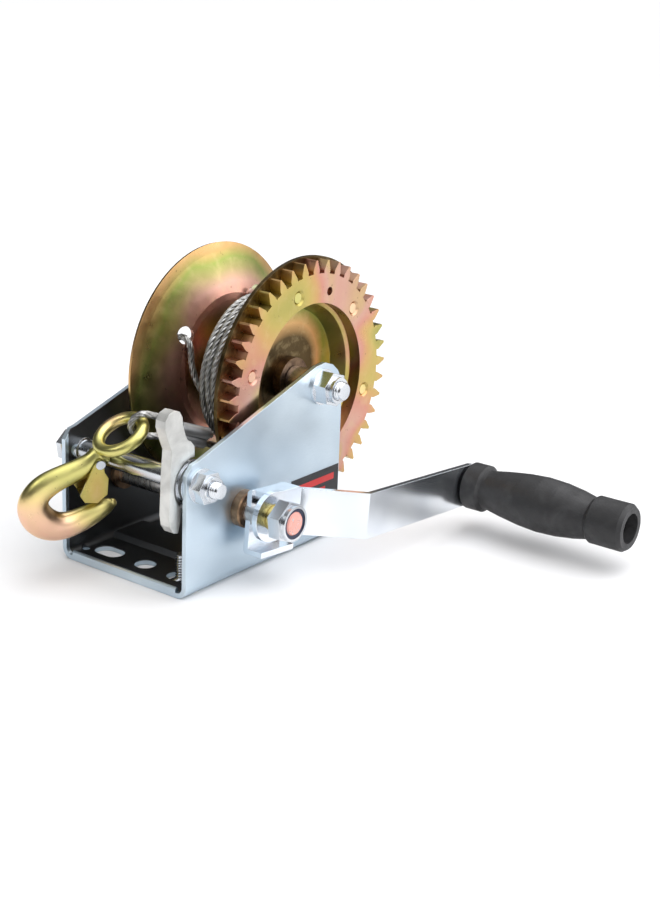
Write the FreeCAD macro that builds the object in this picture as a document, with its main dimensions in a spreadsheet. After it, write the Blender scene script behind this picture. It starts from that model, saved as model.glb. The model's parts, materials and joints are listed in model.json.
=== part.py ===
import FreeCAD, Part
import Sketcher
import math
import os
import re

# Hand winch for a boat trailer: a bent steel channel carries a cable drum on an axle bolt,
# and a cranked shaft whose pinion drives the toothed ring on the drum. Millimetres.
# +Z is up, the cable leaves towards -Y, the crank is on the +X side. The origin is the centre
# of the middle mounting hole, on the underside of the base.

Vector = FreeCAD.Vector
Rotation = FreeCAD.Rotation
doc = FreeCAD.newDocument("TrailerWinch")
sheet = doc.addObject("Spreadsheet::Sheet", "Dims")

SIZES = {
    # bent frame
    "frame_width": 98, "plate_gauge": 3, "bend_radius": 7, "front_edge": -19, "rear_edge": 121,
    "nose_low": 74, "nose_high": 80.5, "nose_inset": 9, "crown_radius": 20, "crown_z": 95,
    "floor_rise": 2.4, "rise_start": 17, "rise_end": 50, "ramp_run": 4,
    "lip_height": 5.8, "lip_gauge": 2.6, "lip_half": 41,
    "slot_offset": 29, "slot_length": 20, "slot_width": 13, "middle_hole": 13, "rear_row": 90,
    "relief_hole": 5, "relief_x": 43, "relief_y": -6,
    # shafts and axles
    "shaft_y": 29.2, "shaft_z": 42.9, "axle_y": 100.6, "axle_z": 100.6,
    "rod_y": -8.2, "rod_z": 66.5, "rod_radius": 6, "rod_collar": 7.2, "rod_bolt": 5,
    "shaft_radius": 7.5, "axle_radius": 6, "bush_flange": 11, "bush_outer": 9.5,
    # drum
    "gear_outer_face": 41, "gear_width": 8, "gear_bore": 49.6, "tooth_module": 3.6,
    "gear_teeth": 41, "pinion_teeth": 10, "profile_shift": 0.5, "thinning": 0.3,
    "rivet_circle": 57, "rivet_radius": 3.2, "flange_radius": 77, "flange_gauge": 2.5,
    "left_rim_x": -37.5, "left_rim_radius": 75, "left_face_x": -24, "right_face_x": 22,
    "core_radius": 26, "core_bore": 23, "drum_bush_radius": 11,
    "pack_radius": 49.5, "pack_left": -6.2, "cable_radius": 2.1,
    # crank
    "pinion_left": 33.5, "pinion_right": 45.2, "arm_gauge": 3.4, "arm_width": 28,
    "arm_inner_x": 57, "arm_outer_x": 71.6, "arm_far_x": 103, "arm_reach": 161,
    "arm_slope": 4.9, "grip_length": 113, "grip_radius": 17.5, "grip_pin": 5,
    # pawl
    "pawl_left": 36.4, "pawl_right": 43.6, "pawl_boss": 12.5,
}
for row, (alias, size) in enumerate(SIZES.items(), start=1):
    sheet.set(f"A{row}", alias)
    sheet.set(f"B{row}", str(size))
    sheet.setAlias(f"B{row}", alias)
doc.recompute()

FUNCTIONS = {"sqrt", "abs"}


def bound(text):
    """The expression with every size name pointed at the spreadsheet."""
    def point(match):
        word = match.group(0)
        return word if word in FUNCTIONS else "Dims." + word
    return re.sub(r"[a-z][a-z_]*[a-z0-9]", point, text)


def size(text):
    """The present value of an expression in the spreadsheet's names."""
    if isinstance(text, (int, float)):
        return float(text)
    found = sheet.evalExpression(bound(text))
    return float(getattr(found, "Value", found))


def bind(obj, prop, text):
    """Tie a property to the sheet, or set it where it is a plain number."""
    if isinstance(text, (int, float)):
        setattr(obj, prop, text)
    else:
        obj.setExpression(prop, bound(text))


# Planes of a body and how their sketches lie: XY (x, y), XZ (x, z), YZ (y, z).
def plane_of(body, role):
    for feature in body.Origin.OriginFeatures:
        if feature.Role == role:
            return feature
    raise ValueError(role)


def new_body(label):
    body = doc.addObject("PartDesign::Body", label)
    body.Label = label
    return body


def sketch_on(body, role, name, offset=0):
    sketch = body.newObject("Sketcher::SketchObject", name)
    sketch.AttachmentSupport = [(plane_of(body, role), "")]
    sketch.MapMode = "FlatFace"
    if isinstance(offset, str):
        sketch.setExpression("AttachmentOffset.Base.z", bound(offset))
    elif offset:
        sketch.AttachmentOffset = FreeCAD.Placement(Vector(0, 0, offset), Rotation())
    return sketch


def fix_coordinate(sketch, kind, index, point, text):
    """Dimension one coordinate of a point from the sketch origin."""
    value = size(text)
    if abs(value) < 1e-9:
        rule = "PointOnObject"
        axis = -2 if kind == "DistanceX" else -1
        sketch.addConstraint(Sketcher.Constraint(rule, index, point, axis))
        return
    number = sketch.addConstraint(Sketcher.Constraint(kind, -1, 1, index, point, value))
    if isinstance(text, str):
        sketch.setExpression(f"Constraints[{number}]", bound(text))


def polygon(sketch, corners):
    """A closed outline, each corner dimensioned from the origin."""
    points = [Vector(size(a), size(b), 0) for a, b in corners]
    count = len(points)
    first = sketch.GeometryCount
    for i in range(count):
        sketch.addGeometry(Part.LineSegment(points[i], points[(i + 1) % count]), False)
    for i in range(count):
        after = first + (i + 1) % count
        sketch.addConstraint(Sketcher.Constraint("Coincident", first + i, 2, after, 1))
    for i, (a, b) in enumerate(corners):
        fix_coordinate(sketch, "DistanceX", first + i, 1, a)
        fix_coordinate(sketch, "DistanceY", first + i, 1, b)


def circle(sketch, a, b, radius):
    index = sketch.addGeometry(
        Part.Circle(Vector(size(a), size(b), 0), Vector(0, 0, 1), size(radius)), False)
    fix_coordinate(sketch, "DistanceX", index, 3, a)
    fix_coordinate(sketch, "DistanceY", index, 3, b)
    number = sketch.addConstraint(Sketcher.Constraint("Radius", index, size(radius)))
    if isinstance(radius, str):
        sketch.setExpression(f"Constraints[{number}]", bound(radius))


def pad(body, sketch, length, name="Pad", midplane=False):
    feature = body.newObject("PartDesign::Pad", name)
    feature.Profile = sketch
    bind(feature, "Length", length)
    feature.Midplane = midplane
    doc.recompute()
    return feature


def pocket(body, sketch, length, name="Pocket", flip=False, midplane=False):
    before = body.Shape.Volume
    feature = body.newObject("PartDesign::Pocket", name)
    feature.Profile = sketch
    bind(feature, "Length", length)
    feature.Midplane = midplane
    feature.Reversed = flip
    doc.recompute()
    if body.Shape.Volume >= before - 1e-6:
        raise ValueError(f"{body.Label}.{name} cuts nothing")
    return feature


def revolve(body, sketch, axis="H_Axis", name="Revolution"):
    feature = body.newObject("PartDesign::Revolution", name)
    feature.Profile = sketch
    feature.ReferenceAxis = (sketch, [axis])
    feature.Angle = 360
    doc.recompute()
    return feature


def place(obj, x=0, y=0, z=0, rotation=None):
    """Put a sub-part in the assembly, its coordinates tied to the sheet where they are text."""
    obj.Placement = FreeCAD.Placement(Vector(size(x), size(y), size(z)), rotation or Rotation())
    for letter, text in zip("xyz", (x, y, z)):
        if isinstance(text, str):
            obj.setExpression(f"Placement.Base.{letter}", bound(text))
    return obj


def turned(label, outline, y, z):
    """A piece turned about X: outline is (x, radius) pairs, placed on the axis (y, z)."""
    body = new_body(label)
    sketch = sketch_on(body, "XY_Plane", label + "_profile")
    polygon(sketch, outline)
    revolve(body, sketch)
    return place(body, 0, y, z)


def primitive(kind, name, **sizes):
    """A Part primitive that ends up inside a boolean."""
    obj = doc.addObject("Part::" + kind, name)
    for prop, text in sizes.items():
        bind(obj, prop, text)
    return obj


ALONG_X = Rotation(Vector(0, 1, 0), 90)


def rod(name, x, y, z, radius, length):
    """A cylinder along +X from x."""
    obj = primitive("Cylinder", name, Radius=radius, Height=length)
    return place(obj, x, y, z, ALONG_X)


def hexagon(name, x, y, z, across_flats, length, turn=0):
    """A hexagonal prism along +X from x."""
    obj = doc.addObject("Part::Prism", name)
    obj.Polygon = 6
    bind(obj, "Circumradius", f"{across_flats} / 1.7320508")
    bind(obj, "Height", length)
    return place(obj, x, y, z, ALONG_X.multiply(Rotation(Vector(0, 0, 1), turn)))


def fuse(label, pieces):
    obj = doc.addObject("Part::MultiFuse", label)
    obj.Shapes = pieces
    obj.Label = label
    return obj


def cut(label, base, tool):
    obj = doc.addObject("Part::Cut", label)
    obj.Base = base
    obj.Tool = tool
    obj.Label = label
    return obj


def common(label, base, tool):
    obj = doc.addObject("Part::Common", label)
    obj.Base = base
    obj.Tool = tool
    obj.Label = label
    return obj


def from_shape(label, shape):
    obj = doc.addObject("Part::Feature", label)
    obj.Shape = shape
    obj.Label = label
    return obj


def rounded_hexagon(name, x, y, z, across_flats, length, turn=0):
    """A hexagon whose end corners are turned off, as on a nut or a bolt head."""
    core = hexagon(name + "_hex", x, y, z, across_flats, length, turn)
    ball = doc.addObject("Part::Sphere", name + "_ball")
    ball.Radius = across_flats * 0.78
    place(ball, f"{x} + {length} / 2" if isinstance(x, str) else x + length / 2, y, z)
    return common(name, core, ball)


pieces = []

# ---------------------------------------------------------------- frame
SLOPE_START = (size("front_edge + nose_inset"), size("nose_high"))
CROWN = (size("rear_edge - crown_radius"), size("crown_z"))


def tangent_from(point, centre, radius):
    """Where the line from a point touches the upper side of a circle."""
    dy, dz = centre[0] - point[0], centre[1] - point[1]
    reach = math.hypot(dy, dz)
    angle = math.atan2(dz, dy) + math.asin(radius / reach)
    run = math.sqrt(reach * reach - radius * radius)
    return point[0] + run * math.cos(angle), point[1] + run * math.sin(angle)


crown_touch = tangent_from(SLOPE_START, CROWN, size("crown_radius"))
frame = new_body("frame_channel")
section = sketch_on(frame, "XZ_Plane", "channel_section", "-front_edge")
high = "crown_z + crown_radius"
polygon(section, [
    ("-frame_width/2", high), ("-frame_width/2", "0"), ("frame_width/2", "0"),
    ("frame_width/2", high), ("frame_width/2 - plate_gauge", high),
    ("frame_width/2 - plate_gauge", "plate_gauge"),
    ("plate_gauge - frame_width/2", "plate_gauge"), ("plate_gauge - frame_width/2", high)])
channel = pad(frame, section, "rear_edge - front_edge", "channel")
channel.Reversed = True
doc.recompute()


def edges_near(shape, test):
    """Names of the edges whose middle point passes the test."""
    names = []
    for number, edge in enumerate(shape.Edges, start=1):
        middle = edge.valueAt((edge.FirstParameter + edge.LastParameter) / 2)
        if test(edge, middle):
            names.append(f"Edge{number}")
    return names


def dress(body, kind, test, prop, amount, name):
    """Fillet or chamfer the edges that pass the test."""
    base = body.Tip
    names = edges_near(base.Shape, test)
    if not names:
        raise ValueError(f"{body.Label}.{name} finds no edge")
    feature = body.newObject("PartDesign::" + kind, name)
    feature.Base = (base, names)
    bind(feature, prop, amount)
    doc.recompute()
    return feature


half_width = size("frame_width/2")
gauge = size("plate_gauge")


def outer_bend(edge, middle):
    return abs(abs(middle.x) - half_width) < 0.01 and abs(middle.z) < 0.01 and edge.Length > 100


def inner_bend(edge, middle):
    return (abs(abs(middle.x) - half_width + gauge) < 0.01
            and abs(middle.z - gauge) < 0.01 and edge.Length > 100)


dress(frame, "Fillet", outer_bend, "Radius", "bend_radius", "outer_bends")
dress(frame, "Fillet", inner_bend, "Radius", "bend_radius - plate_gauge", "inner_bends")

# The side plates: cut away what is above the sloping edge and behind the round crown.
waste = sketch_on(frame, "YZ_Plane", "plate_waste")
top = size(high) + 10
polygon(waste, [
    (size("front_edge") - 5, size("nose_low")), ("front_edge", "nose_low"),
    (SLOPE_START[0] - 4.5, size("nose_high") - 0.8), SLOPE_START, crown_touch,
    (crown_touch[0] + 7, size(high) - 0.35), (CROWN[0] + 3, size(high) - 0.2),
    (CROWN[0] + 10, CROWN[1] + 17.32), (CROWN[0] + 15.5, CROWN[1] + 12.64),
    (CROWN[0] + 18.8, CROWN[1] + 6.82), (CROWN[0] + 20, CROWN[1]),
    (CROWN[0] + 30, CROWN[1]), (CROWN[0] + 30, top), (size("front_edge") - 5, top)])
pocket(frame, waste, 200, "plate_outline", midplane=True)

# Mounting holes: a slot each side in the front and rear rows, and a round hole in the middle.
holes = sketch_on(frame, "XY_Plane", "mounting_holes")
circle(holes, 0, 0, "middle_hole/2")
for side in (1, -1):
    sign = "" if side > 0 else "-"
    circle(holes, f"{sign}relief_x", "relief_y", "relief_hole/2")
pocket(frame, holes, 40, "round_holes", midplane=True)


def slot_outline(sketch, x, y):
    """A slot along X with round ends."""
    radius = size("slot_width/2")
    reach = size("slot_length/2") - radius
    cx, cy = size(x), size(y)
    first = sketch.GeometryCount
    quarter = math.pi / 2
    normal = Vector(0, 0, 1)
    right = Part.Circle(Vector(cx + reach, cy, 0), normal, radius)
    left = Part.Circle(Vector(cx - reach, cy, 0), normal, radius)
    sketch.addGeometry(Part.ArcOfCircle(right, -quarter, quarter), False)
    sketch.addGeometry(Part.LineSegment(Vector(cx + reach, cy + radius, 0),
                                        Vector(cx - reach, cy + radius, 0)), False)
    sketch.addGeometry(Part.ArcOfCircle(left, quarter, 3 * quarter), False)
    sketch.addGeometry(Part.LineSegment(Vector(cx - reach, cy - radius, 0),
                                        Vector(cx + reach, cy - radius, 0)), False)
    for i, (a, b) in enumerate(((2, 1), (2, 1), (2, 1), (2, 1))):
        after = first + (i + 1) % 4
        sketch.addConstraint(Sketcher.Constraint("Tangent", first + i, a, after, b))
    number = sketch.addConstraint(Sketcher.Constraint("Radius", first, radius))
    sketch.setExpression(f"Constraints[{number}]", bound("slot_width/2"))
    for arc, sign in ((first, "+"), (first + 2, "-")):
        fix_coordinate(sketch, "DistanceX", arc, 3, f"{x} {sign} (slot_length - slot_width)/2")
        fix_coordinate(sketch, "DistanceY", arc, 3, y)


for row_name, row_y in (("front", 0), ("rear", "rear_row")):
    for side_name, side_x in (("right", "slot_offset"), ("left", "-slot_offset")):
        slot = sketch_on(frame, "XY_Plane", f"{row_name}_{side_name}_slot")
        slot_outline(slot, side_x, row_y)
        pocket(frame, slot, 40, f"{row_name}_{side_name}", midplane=True)

bores = sketch_on(frame, "YZ_Plane", "axle_bores")
circle(bores, "shaft_y", "shaft_z", "bush_outer + 0.05")
circle(bores, "axle_y", "axle_z", "axle_radius + 0.2")
circle(bores, "rod_y", "rod_z", "rod_bolt + 0.2")
pocket(frame, bores, 200, "cross_bores", midplane=True)

# The raised band across the floor stiffens the base, and a low lip stands along the front edge.
raise_sketch = sketch_on(frame, "YZ_Plane", "raised_band")
polygon(raise_sketch, [
    ("rise_start", "plate_gauge - 0.2"), ("rise_end", "plate_gauge - 0.2"),
    ("rise_end - ramp_run", "plate_gauge + floor_rise"),
    ("rise_start + ramp_run", "plate_gauge + floor_rise")])
pad(frame, raise_sketch, "frame_width - 2*plate_gauge - 1", "raised_band_pad", midplane=True)
hollow = sketch_on(frame, "YZ_Plane", "band_hollow")
polygon(hollow, [
    ("rise_start + 1.5", -1), ("rise_end - 1.5", -1), ("rise_end - 1.5", 0),
    ("rise_end - ramp_run - 1.5", "floor_rise"),
    ("rise_start + ramp_run + 1.5", "floor_rise"), ("rise_start + 1.5", 0)])
pocket(frame, hollow, "frame_width - 2*bend_radius", "band_underside", midplane=True)
lip = sketch_on(frame, "YZ_Plane", "front_lip")
polygon(lip, [
    ("front_edge", "plate_gauge - 0.2"), ("front_edge + lip_gauge", "plate_gauge - 0.2"),
    ("front_edge + lip_gauge", "lip_height - 0.8"), ("front_edge + lip_gauge - 0.8", "lip_height"),
    ("front_edge + 0.8", "lip_height"), ("front_edge", "lip_height - 0.8")])
pad(frame, lip, "2*lip_half", "front_lip_pad", midplane=True)
pieces.append(frame)

# ---------------------------------------------------------------- front rod: pawl pivot and spacer
inner = "frame_width/2 - plate_gauge"
pieces.append(turned("front_spacer_tube", [
    (f"-({inner})", "rod_bolt + 0.1"), ("pawl_left - 0.3", "rod_bolt + 0.1"),
    ("pawl_left - 0.3", "rod_radius"), (f"5.5 - ({inner})", "rod_radius"),
    (f"5 - ({inner})", "rod_collar"), (f"-({inner})", "rod_collar")], "rod_y", "rod_z"))



def shank(name, x, y, z, radius, length, taper=1.3):
    """A bolt's shank along +X, its thread end chamfered."""
    straight = rod(name + "_rod", x, y, z, radius, length - taper)
    end = primitive("Cone", name + "_end", Radius1=radius, Radius2=f"{radius} - {taper}", Height=taper)
    return [straight, place(end, f"{x} + {length - taper}", y, z, ALONG_X)]


front_shank = shank("front_shank", "-frame_width/2 - 3", "rod_y", "rod_z", "rod_bolt", 117)
front_head = rounded_hexagon("front_head", "-frame_width/2 - 6.5", "rod_y", "rod_z", 17, 6.5, 10)
pieces.append(fuse("front_bolt", front_shank + [front_head]))


def lock_nut(label, x, y, z, across_flats, height, bolt_radius, turn=0):
    """A hexagonal lock nut along +X: hexagon, round collar and bore."""
    body = rounded_hexagon(label + "_body", x, y, z, across_flats, height * 0.72, turn)
    collar = rod(label + "_collar", x, y, z, across_flats * 0.42, height)
    bore = rod(label + "_bore", f"{x} - 1", y, z, bolt_radius + 0.02, height + 2)
    return cut(label, fuse(label + "_solid", [body, collar]), bore)


pieces.append(lock_nut("front_nut", "frame_width/2 + 1.6", "rod_y", "rod_z", 17, 9.5, 5, 25))


def washer(name, x, y, z, outer, bore, thick):
    disc = rod(name + "_disc", x, y, z, outer, thick)
    hole = rod(name + "_hole", f"{x} - 1", y, z, bore, thick + 2)
    return cut(name, disc, hole)


pieces.append(washer("front_washer", "frame_width/2", "rod_y", "rod_z", 10, 5.02, 1.6))
pieces.append(fuse("pawl_washers", [
    washer("pawl_washer_a", "pawl_right - 3.2", "rod_y", "rod_z", 13, 5.02, 2.4),
    washer("pawl_washer_b", "pawl_right - 0.7", "rod_y", "rod_z", 12, 5.02, 3.05)]))

# ---------------------------------------------------------------- drum axle
axle_shank = shank("axle_shank", "-frame_width/2 - 3", "axle_y", "axle_z", "axle_radius", 118.5)
axle_head = rounded_hexagon("axle_head", "-frame_width/2 - 7.5", "axle_y", "axle_z", 19, 7.5, 5)
pieces.append(fuse("drum_axle_bolt", axle_shank + [axle_head]))
pieces.append(lock_nut("drum_axle_nut", "frame_width/2 + 1.8", "axle_y", "axle_z", 19, 12, 6, 12))
pieces.append(washer("drum_axle_washer", "frame_width/2", "axle_y", "axle_z", 11, 6.02, 1.8))


def spacer(name, x, y, z, outer, bore, length):
    return washer(name, x, y, z, outer, bore, length)


pieces.append(fuse("drum_axle_spacers", [
    spacer("axle_spacer_left", f"-({inner})", "axle_y", "axle_z", 9, 6.02, 14.5),
    spacer("axle_spacer_right", "gear_outer_face - 13", "axle_y", "axle_z", 9, 6.02, 18)]))

# ---------------------------------------------------------------- shaft bushings
for side, sign in (("left", "-"), ("right", "")):
    far = "frame_width/2 + 5.8"
    mid = "frame_width/2"
    near = "frame_width/2 - plate_gauge"
    outline = [
        (f"{sign}({near})", "shaft_radius + 0.05"), (f"{sign}({far})", "shaft_radius + 0.05"),
        (f"{sign}({far})", "bush_flange - 0.8"), (f"{sign}({far} - 0.8)", "bush_flange"),
        (f"{sign}({mid})", "bush_flange"), (f"{sign}({mid})", "bush_outer"),
        (f"{sign}({near})", "bush_outer")]
    if side == "left":
        outline = [
            (f"-({mid} + 1)", "shaft_radius + 0.05"), (f"-({near} - 3)", "shaft_radius + 0.05"),
            (f"-({near} - 3)", "bush_flange"), (f"-({near})", "bush_flange"),
            (f"-({near})", "bush_outer"), (f"-({mid} + 1)", "bush_outer")]
    pieces.append(turned(f"shaft_bushing_{side}", outline, "shaft_y", "shaft_z"))

# ---------------------------------------------------------------- label and threaded stud
label_body = new_body("warning_label")
label_sketch = sketch_on(label_body, "YZ_Plane", "label_outline", "frame_width/2")
polygon(label_sketch, [(74, 24), (120.3, 24), (120.3, 46.8), (74, 46.8)])
pad(label_body, label_sketch, 0.25, "label_pad")
pieces.append(place(label_body, 0, 0, 0))

stud_neck = primitive("Box", "stud_neck", Length=6.6, Width="slot_width - 0.04", Height=3)
place(stud_neck, 25.7, "-slot_width/2 + 0.02", 0)
stud_thread = primitive("Cylinder", "stud_thread", Radius=4, Height=13.5)
place(stud_thread, 29, 0, 2.9)
stud_tip = primitive("Cone", "stud_tip", Radius1=4, Radius2=3.2, Height=1)
place(stud_tip, 29, 0, 16.4)
pieces.append(fuse("base_stud", [stud_neck, stud_thread, stud_tip]))

# ---------------------------------------------------------------- drum
MODULE = size("tooth_module")


def involute(angle):
    return math.tan(angle) - angle


def tooth_ring(teeth, shift, thinning, relief=0.0):
    """Corners of an external involute gear, first tooth on the first axis; relief thins the tips."""
    pressure = math.radians(20)
    pitch = MODULE * teeth / 2
    base = pitch * math.cos(pressure)
    tip = pitch + MODULE * (1 + shift)
    root = pitch - MODULE * (1.25 - shift)
    half = (math.pi * MODULE / 2 + 2 * shift * MODULE * math.tan(pressure) - thinning) / 2 / pitch
    flank = []
    steps = 5
    start = max(base, root + 0.2)
    for i in range(steps + 1):
        radius = start + (tip - start) * i / steps
        spread = involute(math.acos(min(1.0, base / radius)))
        flank.append((radius, (half + involute(pressure) - spread) * (1 - relief * i / steps)))
    foot = (root, flank[0][1] * (1.0 if start > base else 0.92))
    profile = [foot] + flank
    points = []
    for tooth in range(teeth):
        centre = 2 * math.pi * tooth / teeth
        for radius, angle in profile:
            points.append((radius, centre - angle))
        for radius, angle in reversed(profile):
            points.append((radius, centre + angle))
    return [(radius * math.cos(a), radius * math.sin(a)) for radius, a in points]


def extruded(points, x, length, turn):
    """A toothed outline in the YZ plane, turned about X and extruded along +X."""
    corners = [Vector(x, a, b) for a, b in points]
    face = Part.Face(Part.makePolygon(corners + corners[:1]))
    solid = face.extrude(Vector(length, 0, 0))
    solid.rotate(Vector(0, 0, 0), Vector(1, 0, 0), turn)
    return solid


GEAR_TURN = 185.1
LINE_OF_CENTRES = math.degrees(math.atan2(size("shaft_z - axle_z"), size("shaft_y - axle_y"))) % 360
PITCH_ANGLE = 360 / size("gear_teeth")
gaps_past = (LINE_OF_CENTRES - GEAR_TURN) / PITCH_ANGLE - 0.5
gap_offset = (round(gaps_past) - gaps_past) * PITCH_ANGLE
PINION_TURN = LINE_OF_CENTRES + 180 - gap_offset * size("gear_teeth / pinion_teeth")

shift = size("profile_shift")
thin = size("thinning")
gear_shape = extruded(tooth_ring(41, -shift, thin, 0.5), size("gear_outer_face - gear_width"),
                      size("gear_width"), GEAR_TURN)
gear_bore = Part.makeCylinder(size("gear_bore"), 60, Vector(0, 0, 0), Vector(1, 0, 0))
gear_shape = gear_shape.cut(gear_bore)
RIVET_ANGLES = [44.4 + 60 * k for k in range(6)]


def around(angle, radius):
    return radius * math.cos(math.radians(angle)), radius * math.sin(math.radians(angle))


for angle in RIVET_ANGLES:
    ry, rz = around(angle, size("rivet_circle"))
    hole = Part.makeCylinder(size("rivet_radius"), 60, Vector(0, ry, rz), Vector(1, 0, 0))
    sink = Part.makeCone(size("rivet_radius"), size("rivet_radius") + 1.6, 1.6,
                         Vector(size("gear_outer_face") - 1.6, ry, rz), Vector(1, 0, 0))
    gear_shape = gear_shape.cut(hole).cut(sink)
small_y, small_z = around(74.4, size("rivet_circle"))
small_hole = Part.makeCylinder(2.6, 60, Vector(0, small_y, small_z), Vector(1, 0, 0))
gear_shape = gear_shape.cut(small_hole)
pieces.append(place(from_shape("drum_gear", gear_shape), 0, "axle_y", "axle_z"))

rivets = []
for angle in RIVET_ANGLES:
    ry, rz = around(angle, size("rivet_circle"))
    left = size("gear_outer_face - gear_width - flange_gauge")
    shank = Part.makeCylinder(size("rivet_radius"), size("gear_width + flange_gauge") - 0.9,
                              Vector(left, ry, rz), Vector(1, 0, 0))
    head = Part.makeCylinder(size("rivet_radius") + 1.8, 1.4, Vector(left - 1.4, ry, rz),
                             Vector(1, 0, 0))
    rivets.append(shank.fuse(head))
pieces.append(place(from_shape("gear_rivets", Part.makeCompound(rivets)), 0, "axle_y", "axle_z"))

rim_in = "gear_outer_face - gear_width - flange_gauge"
rim_out = "gear_outer_face - gear_width"
flange_right = turned("drum_flange_right", [
    ("right_face_x - flange_gauge", "drum_bush_radius"), ("right_face_x", "drum_bush_radius"),
    ("right_face_x", 43.2), (f"{rim_out} - 1.6", 47.6), (rim_out, 49.4),
    (rim_out, "flange_radius"), (rim_in, "flange_radius"), (rim_in, 51.2),
    (f"{rim_in} - 1", 49.7), ("right_face_x - flange_gauge", 44.8)], "axle_y", "axle_z")
plate_holes = sketch_on(flange_right, "YZ_Plane", "rivet_holes")
for angle in RIVET_ANGLES:
    circle(plate_holes, around(angle, size("rivet_circle"))[0],
           around(angle, size("rivet_circle"))[1], "rivet_radius")
circle(plate_holes, small_y, small_z, 2.6)
pocket(flange_right, plate_holes, 120, "rivet_hole_cut", midplane=True)
pieces.append(flange_right)

flange_left = turned("drum_flange_left", [
    ("left_face_x", "drum_bush_radius"), ("left_face_x", 41), ("left_face_x - 0.7", 45),
    ("left_face_x - 2.6", 49.5), ("left_face_x - 5.6", 56.5), ("left_face_x - 8.6", 63.5),
    ("left_face_x - 11.2", 69.5), ("left_rim_x + 0.9", 73.2), ("left_rim_x + 0.2", "left_rim_radius"),
    ("left_rim_x - 1.6", "left_rim_radius - 0.4"), ("left_rim_x - 1.5", 73.4),
    ("left_face_x - 13.2", 70.2), ("left_face_x - 10.8", 64.5), ("left_face_x - 7.8", 57.6),
    ("left_face_x - 4.8", 50.6), ("left_face_x - 3", 46), ("left_face_x - 2.3", 41),
    ("left_face_x - 2.3", "drum_bush_radius")], "axle_y", "axle_z")
cable_holes = sketch_on(flange_left, "YZ_Plane", "cable_holes")
CABLE_HOLE = around(147.5, 46.3)
CLAMP_HOLE = around(62, 46.8)
circle(cable_holes, CABLE_HOLE[0], CABLE_HOLE[1], 5.5)
circle(cable_holes, CLAMP_HOLE[0], CLAMP_HOLE[1], 3.2)
pocket(flange_left, cable_holes, 120, "cable_hole_cut", midplane=True)
pieces.append(flange_left)

pieces.append(turned("drum_core", [
    ("left_face_x", "core_bore"), ("right_face_x - flange_gauge", "core_bore"),
    ("right_face_x - flange_gauge", "core_radius"), ("left_face_x", "core_radius")],
    "axle_y", "axle_z"))
pieces.append(turned("drum_bushes", [
    ("left_face_x - 7", "axle_radius + 0.06"), ("right_face_x + 5.5", "axle_radius + 0.06"),
    ("right_face_x + 5.5", "drum_bush_radius + 2.5"), ("right_face_x", "drum_bush_radius + 2.5"),
    ("right_face_x", "drum_bush_radius"), ("left_face_x - 2.3", "drum_bush_radius"),
    ("left_face_x - 2.3", "drum_bush_radius + 2.5"), ("left_face_x - 7", "drum_bush_radius + 2.5")],
    "axle_y", "axle_z"))

# The cable is wound in level layers against the gear side of the drum.
wire = size("cable_radius")
pack_left = size("pack_left")
outer_radius = size("pack_radius")


def pack_profile():
    """(x, radius) outline of the wound cable: every turn of the top layer is a bump."""
    low = size("core_radius") + 0.05
    right_high = pack_left + 12 * wire + 0.2
    points = [(pack_left, low), (right_high, low), (right_high, outer_radius - wire)]
    for turn in range(6):
        centre = right_high - wire * (1 + 2 * turn)
        for step in range(1, 7):
            angle = math.pi * step / 6
            points.append((centre + wire * math.cos(angle) * 0.999,
                           outer_radius - wire + wire * max(math.sin(angle), 0.25)))
    points.append((pack_left, outer_radius - wire))
    return points


profile = [Vector(x, radius, 0) for x, radius in pack_profile()]
pack_face = Part.Face(Part.makePolygon(profile + profile[:1]))
pack_shape = pack_face.revolve(Vector(0, 0, 0), Vector(1, 0, 0), 360)
pieces.append(place(from_shape("cable_winding", pack_shape), 0, "axle_y", "axle_z"))


def tube_path(points, radius):
    """A round cable along straight runs joined by tangent arcs."""
    points = [Vector(*p) for p in points]
    edges = []
    at = points[0]
    for before, corner, after in zip(points, points[1:], points[2:]):
        incoming = (corner - before).normalize()
        outgoing = (after - corner).normalize()
        turn = incoming.getAngle(outgoing)
        shorter = min((corner - before).Length, (after - corner).Length)
        reach = 0.45 * shorter
        start = corner - incoming * reach
        end = corner + outgoing * reach
        arc_radius = reach / math.tan(turn / 2)
        inward = (outgoing - incoming).normalize()
        centre = corner + inward * (arc_radius / math.cos(turn / 2))
        middle = centre - inward * arc_radius
        edges.append(Part.LineSegment(at, start).toShape())
        edges.append(Part.Arc(start, middle, end).toShape())
        at = end
    edges.append(Part.LineSegment(at, points[-1]).toShape())
    spine = Part.Wire(edges)
    heading = (points[1] - points[0]).normalize()
    ring = Part.Wire(Part.Circle(points[0], heading, radius).toShape())
    return spine.makePipeShell([ring], True, True)


# The dead end comes up through the drum's left flange and lies down its face.
hole_y, hole_z = CABLE_HOLE
dead_route = [
    (-8.4, hole_y + 10, hole_z - 45), (-12, hole_y + 6, hole_z - 39),
    (-17.4, hole_y + 2, hole_z - 30), (-20.6, hole_y - 0.6, hole_z - 18),
    (-21, hole_y - 0.5, hole_z - 5), (-28, hole_y - 0.5, hole_z + 0.5),
    (-34.5, hole_y - 1, hole_z - 4)]
dead_end = tube_path(dead_route, wire)
pieces.append(place(from_shape("cable_dead_end", dead_end), 0, "axle_y", "axle_z"))

clamp_y, clamp_z = CLAMP_HOLE
clamp_x = size("left_face_x")
clamp_parts = [
    Part.makeCylinder(3.1, 19, Vector(clamp_x - 9, clamp_y, clamp_z), Vector(1, 0, 0)),
    Part.makeCylinder(6.2, 3.4, Vector(clamp_x + 1.6, clamp_y, clamp_z), Vector(1, 0, 0))]
clamp_shape = clamp_parts[0].fuse(clamp_parts[1])
pieces.append(place(from_shape("cable_clamp_bolt", clamp_shape), 0, "axle_y", "axle_z"))

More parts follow.
